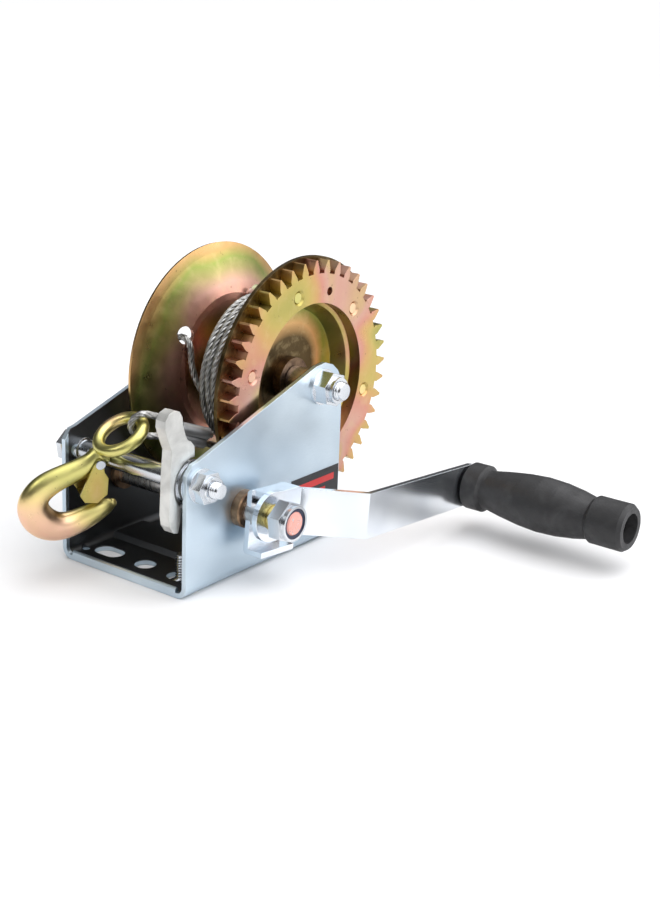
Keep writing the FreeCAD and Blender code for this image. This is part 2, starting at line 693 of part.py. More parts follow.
# ---------------------------------------------------------------- crank shaft and pinion
shaft_end = "arm_outer_x + 16.4"
pieces.append(turned("pinion_shaft", [
    ("-frame_width/2 - 6", 0), (shaft_end, 0), (shaft_end, 6.2), (f"{shaft_end} - 1", 7),
    ("arm_outer_x", 7), ("arm_outer_x", 7.5), ("-frame_width/2 - 6", 7.5)],
    "shaft_y", "shaft_z"))
pinion_shape = extruded(tooth_ring(10, shift, thin), size("pinion_left"),
                        size("pinion_right - pinion_left"), PINION_TURN)
pinion_bore = Part.makeCylinder(7.5, 60, Vector(0, 0, 0), Vector(1, 0, 0))
pieces.append(place(from_shape("drive_pinion", pinion_shape.cut(pinion_bore)),
                    0, "shaft_y", "shaft_z"))
pieces.append(turned("shaft_retaining_ring", [
    ("-frame_width/2 - 3.5", 7.52), ("-frame_width/2 - 1.6", 7.52),
    ("-frame_width/2 - 1.6", 11), ("-frame_width/2 - 3.5", 11)], "shaft_y", "shaft_z"))

# ---------------------------------------------------------------- crank arm
# The strip is drawn in its own frame: s runs out along the arm, w across it, x away from the drum.
ARM_GAUGE = size("arm_gauge")
OUTER_X = size("arm_outer_x")
INNER_X = size("arm_inner_x")
FAR_X = size("arm_far_x")
HALF_ARM = size("arm_width/2")
REACH = size("arm_reach")


def strip_prism(outline, low, high):
    """Extrude an (s, w) outline between two x planes."""
    corners = [Vector(low, s, w) for s, w in outline]
    return Part.Face(Part.makePolygon(corners + corners[:1])).extrude(Vector(high - low, 0, 0))


def side_prism(outline, low, high):
    """Extrude an (s, x) outline between two w planes."""
    corners = [Vector(x, s, low) for s, x in outline]
    return Part.Face(Part.makePolygon(corners + corners[:1])).extrude(Vector(0, 0, high - low))


def half_round(centre, radius, start, end, count=14):
    """Points of an arc in (s, w)."""
    return [(centre[0] + radius * math.cos(start + (end - start) * i / count),
             centre[1] + radius * math.sin(start + (end - start) * i / count))
            for i in range(count + 1)]


MIDDLE_W = -1.5
bend_one, bend_two = 27.8, 50.5
strip_side = [
    (-20, OUTER_X - ARM_GAUGE), (bend_one - 1.2, OUTER_X - ARM_GAUGE),
    (bend_two + 1.8, FAR_X - ARM_GAUGE), (REACH + 30, FAR_X - ARM_GAUGE),
    (REACH + 30, FAR_X), (bend_two - 0.6, FAR_X), (bend_one - 3.2, OUTER_X), (-20, OUTER_X)]
strip = side_prism(strip_side, -30, 30)
outline = (half_round((0, 0), HALF_ARM + 0.8, math.pi * 0.5, math.pi * 1.5)
           + [(bend_one, MIDDLE_W - HALF_ARM), (REACH, MIDDLE_W - HALF_ARM + 0.7)]
           + half_round((REACH, MIDDLE_W), HALF_ARM - 0.7, -math.pi / 2, math.pi / 2)
           + [(bend_one, MIDDLE_W + HALF_ARM)])
arm_shape = strip.common(strip_prism(outline, 0, 200))
box_front, box_rear = -6.5, bend_one - 5
web_high = HALF_ARM + 0.2
back_low = -24.2
back_plate = strip_prism([(box_front, back_low), (box_rear, back_low),
                          (box_rear, web_high), (box_front, web_high)], INNER_X, INNER_X + ARM_GAUGE)
top_web = strip_prism([(box_front + 1.5, web_high - ARM_GAUGE), (box_rear, web_high - ARM_GAUGE),
                       (box_rear, web_high), (box_front + 1.5, web_high)], INNER_X, OUTER_X)
low_web = strip_prism([(box_front, back_low), (box_rear, back_low),
                       (box_rear, back_low + ARM_GAUGE), (box_front, back_low + ARM_GAUGE)],
                      INNER_X, OUTER_X - 1)
arm_shape = arm_shape.fuse([back_plate, top_web, low_web]).removeSplitter()
fold_edges = [edge for edge in arm_shape.Edges
              if edge.Length > 10 and abs(edge.tangentAt(edge.FirstParameter).y) > 0.99
              and abs(edge.CenterOfMass.x - INNER_X) < 0.1
              and (abs(edge.CenterOfMass.z - web_high) < 0.1
                   or abs(edge.CenterOfMass.z - back_low) < 0.1)]
arm_shape = arm_shape.makeFillet(2.8, fold_edges)
shaft_hole = Part.makeCylinder(7.52, 40, Vector(INNER_X - 5, 0, 0), Vector(1, 0, 0))
pin_hole = Part.makeCylinder(5.02, 40, Vector(FAR_X - 20, REACH, MIDDLE_W), Vector(1, 0, 0))
arm_shape = arm_shape.cut(shaft_hole).cut(pin_hole)
arm_tilt = Rotation(Vector(1, 0, 0), -size("arm_slope"))
pieces.append(place(from_shape("crank_arm", arm_shape), 0, "shaft_y", "shaft_z", arm_tilt))


def on_arm(s, w):
    """(y, z) of a point given along and across the arm."""
    lift = arm_tilt.multVec(Vector(0, s, w))
    return size("shaft_y") + lift.y, size("shaft_z") + lift.z


nut_solid = fuse("crank_nut_solid", [
    rounded_hexagon("crank_nut_hex", "arm_outer_x + 5.4", "shaft_y", "shaft_z", 22, 8, 8),
    rod("crank_nut_collar", "arm_outer_x + 5.4", "shaft_y", "shaft_z", 10.4, 11)])
nut_bore = rod("crank_nut_bore", "arm_outer_x - 2", "shaft_y", "shaft_z", 7.02, 30)
nut_seat = rod("crank_nut_seat", "arm_outer_x + 12.6", "shaft_y", "shaft_z", 9, 10)
nut_voids = fuse("crank_nut_voids", [nut_bore, nut_seat])
pieces.append(cut("crank_lock_nut", nut_solid, nut_voids))
pieces.append(washer("lock_nut_insert", "arm_outer_x + 12.6", "shaft_y", "shaft_z", 8.98, 7.02, 3))

# ---------------------------------------------------------------- handle
pin_y, pin_z = on_arm(REACH, MIDDLE_W)
grip_start = FAR_X + 1.2
grip_length = size("grip_length")
pieces.append(turned("grip_pin", [
    (FAR_X - ARM_GAUGE - 2.4, 0), (grip_start + grip_length - 7.6, 0),
    (grip_start + grip_length - 7.6, 8.4), (grip_start + grip_length - 10.2, 8.4),
    (grip_start + grip_length - 10.2, 5), (FAR_X - ARM_GAUGE, 5), (FAR_X - ARM_GAUGE, 8),
    (FAR_X - ARM_GAUGE - 2.4, 7)], pin_y, pin_z))
GRIP_OUTLINE = [(0, 13.8), (1.2, 15), (11.4, 15), (12.6, 13.8), (13.4, 12.6), (15, 12.6),
                (26, 14.6), (40, 16.6), (53, 17.5), (66, 16.9), (78, 15.2), (86, 13.4),
                (87.6, 12.9), (88.4, 13.9), (90, 14.9), (110.5, 15), (113, 13.2)]
bore_outline = [(113, 9.4), (102.6, 9.4), (102.6, 8.4 + 0.4), (101, 5.3), (0, 5.3)]
pieces.append(turned("handle_grip", [(grip_start + a, b) for a, b in GRIP_OUTLINE]
                     + [(grip_start + a, b) for a, b in bore_outline], pin_y, pin_z))

# ---------------------------------------------------------------- pawl
pawl = new_body("pawl_lever")
pawl_sketch = sketch_on(pawl, "YZ_Plane", "pawl_outline", "pawl_left")
PAWL = [(-19, -15.7), (-18.2, 7.5), (-17, 22.6), (-20.4, 30.5), (-22.6, 36.5), (-22.2, 40.8),
        (-19.6, 44.2), (-15.2, 45.6), (-11.2, 44.2), (-8.8, 40.4), (-8.3, 35.8), (-6.2, 29.5),
        (-4.4, 26.2), (-1.6, 24.8), (1.2, 21.3), (1.6, 16.2), (0.8, 12.5), (12.4, 2.2),
        (12.4, -2.2), (10.8, -6.2), (6.2, -10.8), (0, -12.5), (-6.3, -12.1), (-9, -15.7),
        (-9.8, -21), (-11.6, -26.7), (-15, -25.8), (-18, -21.6)]
polygon(pawl_sketch, PAWL)
pad(pawl, pawl_sketch, "pawl_right - pawl_left", "pawl_pad")
washer_seat = sketch_on(pawl, "YZ_Plane", "washer_seat", "pawl_right - 3.5")
circle(washer_seat, 0, 0, 15.2)
pocket(pawl, washer_seat, 10, "washer_seat_cut", flip=True)
pawl_bore = sketch_on(pawl, "YZ_Plane", "pawl_bore")
circle(pawl_bore, 0, 0, "rod_bolt + 0.08")
pocket(pawl, pawl_bore, 120, "pawl_bore_cut", midplane=True)
pieces.append(place(pawl, 0, "rod_y", "rod_z"))

# ---------------------------------------------------------------- hook, ferrule and live cable
EYE = Vector(-8.6, -11.5, 84)
EYE_RADIUS = 13.8
EYE_WIRE = 3.6
shank_way = Vector(-0.459, -0.579, -0.671).normalize()
hook_way = Vector(0.213, 0.663, -0.717)
hook_way = (hook_way - shank_way * hook_way.dot(shank_way)).normalize()
ring_way = shank_way.cross(hook_way).normalize()
eye_normal = Vector(0.082, 0.51, -0.845).normalize()
bear_way = Vector(0.638, 0.622, 0.438)
bear_way = (bear_way - eye_normal * bear_way.dot(eye_normal)).normalize()
swing_way = bear_way.cross(eye_normal).normalize()


def in_hook(u, v, w=0.0):
    """A point along the shank, across the hook, and out of its plane."""
    return EYE + shank_way * u + hook_way * v + ring_way * w


def oval(centre, heading, wide, thick):
    """A flattened section: wide in the hook's plane, thinner across it."""
    along = ring_way.cross(heading).normalize()
    ellipse = Part.Ellipse(centre + along * wide, centre + ring_way * thick, centre)
    return Part.Wire(ellipse.toShape())


eye_ring = Part.makeTorus(EYE_RADIUS, EYE_WIRE, EYE, eye_normal)
HOOK_LINE = [(13.6, 1.2, 3.6), (18.6, 1.4, 6.8), (24, 0.8, 6.6), (32, -1.8, 6.6), (43.5, -6.3, 7.2),
             (54, -8.2, 7.9), (63, -5, 8.8), (67.6, 5, 9.6), (64, 17.4, 8.8), (54.4, 24, 7.6),
             (43.7, 27.4, 6.6), (36.4, 29.6, 5), (33, 30.8, 3.2)]
line = [in_hook(u, v) for u, v, wide in HOOK_LINE]
sections = []
for i, (u, v, wide) in enumerate(HOOK_LINE):
    before = line[max(i - 1, 0)]
    after = line[min(i + 1, len(line) - 1)]
    sections.append(oval(line[i], after - before, wide, 0.74 * wide + 0.5))
hook_body = Part.makeLoft(sections, True, False)
tip_ball = Part.makeSphere(2.8, line[-1])
PIVOT = (19.4, 0.9)
rivet_bore = Part.makeCylinder(1.65, 40, in_hook(*PIVOT, -20), ring_way)
hook_shape = eye_ring.fuse([hook_body, tip_ball]).cut(rivet_bore)
pieces.append(from_shape("cable_hook", hook_shape))


def slab(corners, thick):
    """A flat plate in the hook's plane, centred on it."""
    points = [in_hook(u, v, -thick / 2) for u, v in corners]
    face = Part.Face(Part.makePolygon(points + points[:1]))
    return face.extrude(ring_way * thick)


LATCH = [(16.5, 1), (17.2, -1.4), (19.4, -2.2), (22, -1.2), (40.8, 8.2), (41.8, 13.5), (37, 19.5),
         (29.5, 19.5), (22.2, 12), (21.3, 7.5), (19.4, 4.5), (17.2, 3.2)]
LATCH_GAP = [(5, -8), (48, -8), (48, 4), (40.4, 12.6), (36.2, 17.8), (5, 17.8)]
latch_shape = slab(LATCH, 14.8).cut(slab(LATCH_GAP, 12.6))
latch_bore = Part.makeCylinder(1.7, 40, in_hook(*PIVOT, -20), ring_way)
latch_shape = latch_shape.cut(latch_bore)
pieces.append(from_shape("hook_latch", latch_shape))
rivet_pin = Part.makeCylinder(1.6, 18, in_hook(*PIVOT, -9), ring_way)
rivet_heads = [Part.makeCylinder(2.8, 1.5, in_hook(*PIVOT, side), ring_way) for side in (-9, 7.5)]
pieces.append(from_shape("latch_rivet", rivet_pin.fuse(rivet_heads)))

# The cable loop goes round the far side of the eye and back through the ferrule.
BEAR = EYE + bear_way * EYE_RADIUS
FERRULE = Vector(14, 24.5, 80)
loop_way = (FERRULE - BEAR).normalize()
loop_side = (swing_way - loop_way * swing_way.dot(loop_way)).normalize()
loop_up = loop_side.cross(loop_way).normalize()
if loop_up.z < 0:
    loop_up = loop_up * -1
REACH_FERRULE = (FERRULE - BEAR).Length


def in_loop(a, b):
    return BEAR + loop_way * a + loop_up * b


STRAND = 3.2
start = REACH_FERRULE + 11.5
loop_route = [in_loop(start, STRAND), in_loop(REACH_FERRULE - 15, STRAND), in_loop(7, 7.6),
              in_loop(-6.9, 6.4), in_loop(-6.4, -6.8), in_loop(7, -7.4),
              in_loop(REACH_FERRULE - 15, -STRAND), in_loop(REACH_FERRULE + 18, -STRAND)]
leave_angle = 245
leave_y = size("axle_y") + (outer_radius + wire + 0.3) * math.cos(math.radians(leave_angle))
leave_z = size("axle_z") + (outer_radius + wire + 0.3) * math.sin(math.radians(leave_angle))
leave = Vector(17, leave_y, leave_z)
halfway = (loop_route[-1] + leave) * 0.5 + Vector(0, 0, -1.6)
live_route = loop_route + [halfway, leave]
pieces.append(from_shape("live_cable", tube_path([tuple(p) for p in live_route], wire)))

barrels = [Part.makeCylinder(3.6, 18, in_loop(REACH_FERRULE - 9, offset), loop_way)
           for offset in (STRAND, -STRAND)]
web = barrels[0].fuse(barrels[1])
bores = [Part.makeCylinder(wire + 0.03, 30, in_loop(REACH_FERRULE - 15, offset), loop_way)
         for offset in (STRAND, -STRAND)]
ferrule_shape = web.cut(bores)
pieces.append(from_shape("cable_ferrule", ferrule_shape))

# ---------------------------------------------------------------- checks and export
doc.recompute()
faults = [obj.Name for obj in doc.Objects if {"Invalid", "Error"} & set(obj.State)]
if faults:
    raise ValueError("failed: " + ", ".join(faults))
for piece in pieces:
    if piece.Shape.isNull() or not piece.Shape.isValid():
        raise ValueError("bad shape: " + piece.Label)
os.makedirs("parts", exist_ok=True)
for piece in pieces:
    piece.Shape.exportStep(f"parts/{piece.Label}.step")
print(len(pieces), "pieces written")
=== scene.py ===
import json
import math

import bmesh
import bpy
from mathutils import Matrix, Vector
from mathutils import noise as smooth_noise


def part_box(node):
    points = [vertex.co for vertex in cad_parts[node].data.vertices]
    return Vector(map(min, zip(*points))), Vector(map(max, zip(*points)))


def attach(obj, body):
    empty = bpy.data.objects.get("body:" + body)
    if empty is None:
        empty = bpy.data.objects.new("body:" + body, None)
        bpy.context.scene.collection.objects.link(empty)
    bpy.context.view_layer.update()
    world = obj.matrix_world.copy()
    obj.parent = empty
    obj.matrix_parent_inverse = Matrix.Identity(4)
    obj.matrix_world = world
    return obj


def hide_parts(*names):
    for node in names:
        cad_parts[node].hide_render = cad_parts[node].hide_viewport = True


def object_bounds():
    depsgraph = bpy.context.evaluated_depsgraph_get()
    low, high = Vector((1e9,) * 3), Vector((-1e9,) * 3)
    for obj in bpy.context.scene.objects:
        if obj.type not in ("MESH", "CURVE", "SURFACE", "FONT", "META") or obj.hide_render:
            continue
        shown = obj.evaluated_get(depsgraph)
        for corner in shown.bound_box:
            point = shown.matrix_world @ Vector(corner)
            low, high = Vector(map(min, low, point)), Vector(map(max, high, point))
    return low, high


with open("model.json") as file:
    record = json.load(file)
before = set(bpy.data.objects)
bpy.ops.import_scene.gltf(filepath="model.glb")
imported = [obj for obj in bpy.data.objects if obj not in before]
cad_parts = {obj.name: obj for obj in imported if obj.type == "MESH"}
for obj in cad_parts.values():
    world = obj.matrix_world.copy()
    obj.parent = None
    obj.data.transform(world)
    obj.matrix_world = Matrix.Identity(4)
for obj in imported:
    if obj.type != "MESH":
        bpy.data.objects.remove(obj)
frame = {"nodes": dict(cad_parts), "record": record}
cad_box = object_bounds()
nodes = frame["nodes"]
MM = 0.001


# ---------------------------------------------------------------- camera, floor and light
def make_camera():
    """The photograph's viewing angle: azimuth, height, roll and distance about a point of the winch."""
    azimuth, height, roll = math.radians(35.9), math.radians(16.61), math.radians(2.39)
    away = Vector((math.sin(azimuth) * math.cos(height), -math.cos(azimuth) * math.cos(height),
                   math.sin(height)))
    level = Vector((math.cos(azimuth), math.sin(azimuth), 0))
    upright = away.cross(level)
    right = level * math.cos(roll) + upright * math.sin(roll)
    up = upright * math.cos(roll) - level * math.sin(roll)
    target = Vector((0.0499, 0.1322, 0.0907))
    data = bpy.data.cameras.new("camera")
    data.sensor_fit = "VERTICAL"
    data.sensor_height = 36
    data.lens = 64.53
    data.shift_x = -0.0261
    data.shift_y = -0.0649
    data.clip_end = 200
    camera = bpy.data.objects.new("camera", data)
    turn = Matrix((right, up, away)).transposed().to_4x4()
    camera.matrix_world = Matrix.Translation(target + away * 0.99724) @ turn
    bpy.context.collection.objects.link(camera)
    bpy.context.scene.camera = camera


def area_light(name, place, aim, width, height, power, tint=(1, 1, 1)):
    data = bpy.data.lights.new(name, "AREA")
    data.shape = "RECTANGLE"
    data.size = width
    data.size_y = height
    data.energy = power
    data.color = tint
    lamp = bpy.data.objects.new(name, data)
    lamp.location = place
    lamp.rotation_euler = (Vector(aim) - Vector(place)).to_track_quat("-Z", "Y").to_euler()
    bpy.context.collection.objects.link(lamp)


def make_world():
    """A studio sky: bright overhead, to the right and behind, dark low down in front and at the left."""
    world = bpy.data.worlds.new("studio")
    world.use_nodes = True
    bpy.context.scene.world = world
    tree = world.node_tree
    background = tree.nodes["Background"]
    coordinate = tree.nodes.new("ShaderNodeTexCoord")
    tilt = tree.nodes.new("ShaderNodeVectorMath")
    tilt.operation = "DOT_PRODUCT"
    tilt.inputs[1].default_value = (0.40, 0.25, 0.88)
    ramp = tree.nodes.new("ShaderNodeValToRGB")
    stops = [(0.0, 0.03), (0.26, 0.06), (0.46, 0.32), (0.66, 0.85), (0.82, 1.7)]
    while len(ramp.color_ramp.elements) < len(stops):
        ramp.color_ramp.elements.new(0.5)
    for element, (position, grey) in zip(ramp.color_ramp.elements, stops):
        element.position = position
        element.color = (grey, grey, 1.02 * grey, 1)
    tree.links.new(coordinate.outputs["Generated"], tilt.inputs[0])
    tree.links.new(tilt.outputs["Value"], ramp.inputs["Fac"])
    tree.links.new(ramp.outputs["Color"], background.inputs["Color"])
    background.inputs["Strength"].default_value = 1.35


def make_stage():
    mesh = bpy.data.meshes.new("floor")
    reach = 60.0
    mesh.from_pydata([(-reach, -reach, 0), (reach, -reach, 0), (reach, reach, 0),
                      (-reach, reach, 0)], [], [(0, 1, 2, 3)])
    floor = bpy.data.objects.new("floor", mesh)
    floor.location.z = cad_box[0][2] - 0.0002
    bpy.context.collection.objects.link(floor)
    look = Look("floor_white", metal=0, rough=0.75)
    look.socket("Base Color", (0.86, 0.86, 0.86, 1))
    mesh.materials.append(look.material)
    area_light("key", (-0.5, -1.3, 1.3), (0, 0.05, 0.08), 0.9, 0.7, 5)
    area_light("right", (1.5, -0.5, 0.7), (0.05, 0.1, 0.08), 0.6, 1.0, 2.5, (0.97, 0.98, 1))
    area_light("top", (0.1, 0.4, 1.5), (0.03, 0.08, 0.05), 1.2, 1.2, 3)
    area_light("behind", (0.9, 1.5, 0.7), (0.05, 0.1, 0.1), 0.8, 0.8, 2)


# ---------------------------------------------------------------- materials
class Look:
    """One node material around a Principled shader."""

    def __init__(self, name, metal, rough):
        self.material = bpy.data.materials.new(name)
        self.material.use_nodes = True
        self.tree = self.material.node_tree
        self.shader = self.tree.nodes["Principled BSDF"]
        self.socket("Metallic", metal)
        self.socket("Roughness", rough)
        self.place = self.tree.nodes.new("ShaderNodeTexCoord").outputs["Object"]

    def socket(self, name, value):
        self.shader.inputs[name].default_value = value

    def node(self, kind, inputs=(), **settings):
        made = self.tree.nodes.new(kind)
        for key, value in settings.items():
            setattr(made, key, value)
        for key, value in dict(inputs).items():
            if isinstance(value, bpy.types.NodeSocket):
                self.tree.links.new(value, made.inputs[key])
            else:
                made.inputs[key].default_value = value
        return made

    def stretched(self, scale):
        return self.node("ShaderNodeMapping", {"Vector": self.place, "Scale": scale}).outputs[0]

    def noise(self, scale, detail=4, distortion=0.0, stretch=None, rough=0.55):
        vector = self.stretched(stretch) if stretch else self.place
        made = self.node("ShaderNodeTexNoise", {
            "Vector": vector, "Scale": scale, "Detail": detail, "Roughness": rough,
            "Distortion": distortion})
        return made.outputs["Fac"]

    def ramp(self, fac, stops):
        made = self.node("ShaderNodeValToRGB", {"Fac": fac})
        elements = made.color_ramp.elements
        while len(elements) < len(stops):
            elements.new(0.5)
        for element, (position, colour) in zip(elements, stops):
            element.position = position
            element.color = (*colour, 1)
        return made.outputs["Color"]

    def mix(self, fac, first, second, blend="MIX"):
        made = self.node("ShaderNodeMix", data_type="RGBA", blend_type=blend)
        for index, value in ((0, fac), (6, first), (7, second)):
            if isinstance(value, bpy.types.NodeSocket):
                self.tree.links.new(value, made.inputs[index])
            else:
                made.inputs[index].default_value = value
        return made.outputs[2]

    def span(self, value, low, high, to_low=0.0, to_high=1.0):
        made = self.node("ShaderNodeMapRange", {
            0: value, 1: low, 2: high, 3: to_low, 4: to_high})
        return made.outputs[0]

    def into(self, name, value):
        self.tree.links.new(value, self.shader.inputs[name])

    def bumps(self, heights, edge=0.0):
        """Stacks bumps: (height, strength, distance in metres). edge rounds sharp edges a little."""
        normal = None
        if edge:
            normal = self.node("ShaderNodeBevel", {"Radius": edge}, samples=4).outputs[0]
        for height, strength, distance in heights:
            inputs = {"Height": height, "Strength": strength, "Distance": distance}
            if normal is not None:
                inputs["Normal"] = normal
            normal = self.node("ShaderNodeBump", inputs).outputs[0]
        self.into("Normal", normal)


def zinc(name, dark, mid, light, rough, streak=(1, 1, 6), edge=0.0004):
    """Electroplated steel: cloudy blue-white mottling, fine rolling marks and small scuffs."""
    look = Look(name, metal=1, rough=rough)
    cloud = look.noise(15, 2, 0.3)
    colour = look.ramp(cloud, [(0.32, dark), (0.5, mid), (0.68, light)])
    marks = look.noise(260, 3, 0, streak)
    tinted = look.mix(look.span(marks, 0.35, 0.7, 0, 0.12), colour, (*dark, 1))
    scuff = look.noise(110, 8, 0.8, None, 0.7)
    worn = look.mix(look.span(scuff, 0.68, 0.80, 0, 0.2), tinted, (*light, 1))
    look.into("Base Color", worn)
    look.into("Roughness", look.span(look.noise(40, 2), 0.3, 0.7, rough * 0.92, rough * 1.1))
    look.bumps([(look.noise(1000, 3), 0.03, 0.0001), (marks, 0.03, 0.0001)], edge)
    return look


def channel_zinc():
    """The frame's plating: pale outside, with painted shade inside the channel, whose inner faces are
    painted near-black.
    """
    look = zinc("plate_zinc", (0.46, 0.56, 0.64), (0.57, 0.67, 0.75), (0.68, 0.78, 0.85), 0.36)
    pale = look.shader.inputs["Base Color"].links[0].from_socket
    inner_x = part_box("frame_channel")[1][0] - 2.7 * MM
    split = look.node("ShaderNodeSeparateXYZ", {"Vector": look.place}).outputs
    off_middle = look.node("ShaderNodeMath", {0: split["X"]}, operation="ABSOLUTE").outputs[0]
    inside = look.span(off_middle, inner_x, inner_x + 0.2 * MM, 1, 0)
    above = look.span(split["Z"], 2.4 * MM, 2.6 * MM)
    behind = look.span(split["Y"], -16.6 * MM, -16.4 * MM)
    both = look.node("ShaderNodeMath", {0: inside, 1: above}, operation="MULTIPLY").outputs[0]
    # painted shade: the channel's inner faces, above the floor and behind the front edge, are painted
    # near-black
    painted_shade_inside = look.node("ShaderNodeMath", {0: both, 1: behind}, operation="MULTIPLY").outputs[0]
    look.into("Base Color", look.mix(painted_shade_inside, pale, (0.10, 0.105, 0.11, 1)))
    return look.material


OLIVE, GOLD, ORANGE = (0.30, 0.34, 0.09), (0.54, 0.42, 0.13), (0.60, 0.36, 0.15)
# the dark brown colour here is painted shade, and it is used only in the flange rings
PINK, ROSE, SHADE_BROWN = (0.62, 0.29, 0.22), (0.62, 0.36, 0.28), (0.09, 0.06, 0.025)
CLOUDS = [(0.28, OLIVE), (0.38, GOLD), (0.45, ORANGE), (0.51, PINK), (0.57, ROSE),
          (0.63, GOLD), (0.71, OLIVE), (0.80, PINK)]
HOOK_CLOUDS = [(0.34, (0.62, 0.58, 0.20)), (0.44, (0.86, 0.66, 0.30)), (0.54, (0.84, 0.52, 0.38)),
               (0.64, (0.88, 0.72, 0.40)), (0.74, (0.78, 0.46, 0.36))]
# painted shade: the left flange is painted dark brown near the drum's core, fading out by the pink ring
LEFT_RINGS_AND_SHADE = [(0.05, SHADE_BROWN), (0.22, (0.26, 0.15, 0.07)), (0.40, PINK), (0.56, ROSE),
              (0.70, (0.40, 0.34, 0.14)), (0.82, OLIVE), (0.97, ORANGE)]
# painted shade: the right flange is painted dark brown near its hub and over its outer ring round the
# gear teeth, dark from every side
RIGHT_RINGS_AND_SHADE = [(0.10, SHADE_BROWN), (0.22, ORANGE), (0.36, OLIVE), (0.52, GOLD), (0.62, PINK),
               (0.70, SHADE_BROWN), (0.98, SHADE_BROWN)]


def yellow_chromate(name, stops=CLOUDS, ringed=False, edge=0.0004):
    """Yellow chromate over zinc: clouds of interference colour, or rings about the drum's axle; on the
    flanges the rings also hold dark brown painted shade.
    """
    look = Look(name, metal=1, rough=0.27)
    cloud = look.noise(16, 1.5, 0.5, None, 0.4)
    if ringed:
        flat = look.node("ShaderNodeMapping", {
            "Vector": look.place, "Location": (0, -DRUM_Y, -DRUM_Z), "Scale": (0, 1, 1)})
        away = look.node("ShaderNodeVectorMath", {0: flat.outputs[0]}, operation="LENGTH")
        ring = look.span(away.outputs["Value"], 20 * MM, 77 * MM)
        wander = look.span(cloud, 0.25, 0.75, -0.14, 0.14)
        cloud = look.node("ShaderNodeMath", {0: ring, 1: wander}, operation="ADD").outputs[0]
    colour = look.ramp(cloud, stops)
    fine = look.noise(150, 5, 0.4)
    shaded = look.mix(look.span(fine, 0.5, 0.75, 0, 0.25), colour, (0.70, 0.54, 0.28, 1))
    specks = look.noise(420, 3, 0.3)
    dulled = look.mix(look.span(specks, 0.68, 0.74, 0, 0.5), shaded, (0.12, 0.08, 0.04, 1))
    look.into("Base Color", dulled)
    look.into("Roughness", look.span(look.noise(90, 5), 0.3, 0.7, 0.26, 0.4))
    look.bumps([(look.noise(900, 3), 0.06, 0.0002)], edge)
    return look.material


def turned_steel(name, colour, rough):
    """Bare turned steel with rings of tool marks about the X axis and a film of oil."""
    look = Look(name, metal=1, rough=rough)
    rings = look.noise(300, 2, 0, (6, 0.4, 0.4))
    grey = look.ramp(look.noise(60, 4), [(0.35, tuple(0.7 * c for c in colour)), (0.65, colour)])
    oiled = look.mix(look.span(look.noise(35, 4), 0.45, 0.7, 0, 0.35), grey, (0.42, 0.36, 0.24, 1))
    look.into("Base Color", oiled)
    look.into("Roughness", look.span(rings, 0.3, 0.7, rough * 0.7, rough * 1.4))
    look.bumps([(rings, 0.15, 0.0001)], 0.0003)
    return look


def shaft_steel():
    """The pinion shaft: yellow-plated thread past the arm, salmon marking paint on its end."""
    look = turned_steel("shaft_steel", (0.66, 0.65, 0.64), 0.26)
    bare = look.shader.inputs["Base Color"].links[0].from_socket
    split = look.node("ShaderNodeSeparateXYZ", {"Vector": look.place})
    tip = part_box("pinion_shaft")[1][0]
    end = look.span(split.outputs["X"], tip - 1.6 * MM, tip - 1.2 * MM)
    smear = look.span(look.noise(420, 3), 0.34, 0.42)
    cover = look.node("ShaderNodeMath", {0: end, 1: smear}, operation="MULTIPLY").outputs[0]
    past_arm = look.span(split.outputs["X"], tip - 16.8 * MM, tip - 16.4 * MM)
    thread = look.node("ShaderNodeMath", {0: past_arm, 1: look.span(end, 1, 0)},
                       operation="MULTIPLY").outputs[0]
    plated = look.mix(thread, bare, (0.46, 0.38, 0.14, 1))
    painted = look.mix(cover, plated, (0.80, 0.36, 0.30, 1))
    look.into("Base Color", painted)
    look.into("Metallic", look.span(cover, 0, 1, 1, 0))
    return look.material


def rope_steel():
    """Galvanised wire: grey, with single wires running round each strand and darker bands in the gaps
    between them.
    """
    look = Look("rope_steel", metal=1, rough=0.4)
    colour = look.ramp(look.noise(170, 4), [(0.3, (0.22, 0.22, 0.21)), (0.55, (0.42, 0.42, 0.41)),
                                            (0.75, (0.62, 0.62, 0.61))])
    across = look.node("ShaderNodeUVMap").outputs["UV"]
    wires = look.node("ShaderNodeTexWave", {
        "Vector": across, "Scale": 1.0, "Distortion": 0.0}, wave_type="BANDS",
        bands_direction="DIAGONAL").outputs["Fac"]
    gaps = look.mix(look.span(wires, 0.0, 0.5, 0.5, 0.0), colour, (0.12, 0.11, 0.10, 1))
    look.into("Base Color", gaps)
    look.into("Roughness", look.span(look.noise(400, 3), 0.3, 0.7, 0.3, 0.5))
    look.bumps([(wires, 0.5, 0.00025)])
    return look.material


def cast_metal(name, dark, light, rough):
    """Die-cast zinc: matte skin with a fine grain and a few darker patches."""
    look = Look(name, metal=0.85, rough=rough)
    colour = look.ramp(look.noise(55, 6, 0.5), [(0.3, dark), (0.6, light)])
    look.into("Base Color", colour)
    look.into("Roughness", look.span(look.noise(160, 4), 0.3, 0.7, rough * 0.85, rough * 1.2))
    look.bumps([(look.noise(1100, 4), 0.3, 0.0003), (look.noise(140, 3), 0.12, 0.0006)], 0.0006)
    return look.material


def plastic(name, colour, rough, grain, depth):
    """Moulded plastic with a spark-eroded grain and paler rubbed spots."""
    look = Look(name, metal=0, rough=rough)
    rubbed = look.noise(45, 7, 0.7)
    pale = tuple(min(1, 2.2 * c + 0.015) for c in colour)
    look.into("Base Color", look.ramp(rubbed, [(0.5, colour), (0.8, pale)]))
    look.into("Roughness", look.span(look.noise(200, 3), 0.3, 0.7, rough * 0.85, rough * 1.2))
    cells = look.node("ShaderNodeTexVoronoi", {"Vector": look.place, "Scale": grain})
    look.bumps([(cells.outputs["Distance"], depth, 0.0003), (look.noise(grain, 3), 0.2, 0.0002)])
    return look.material


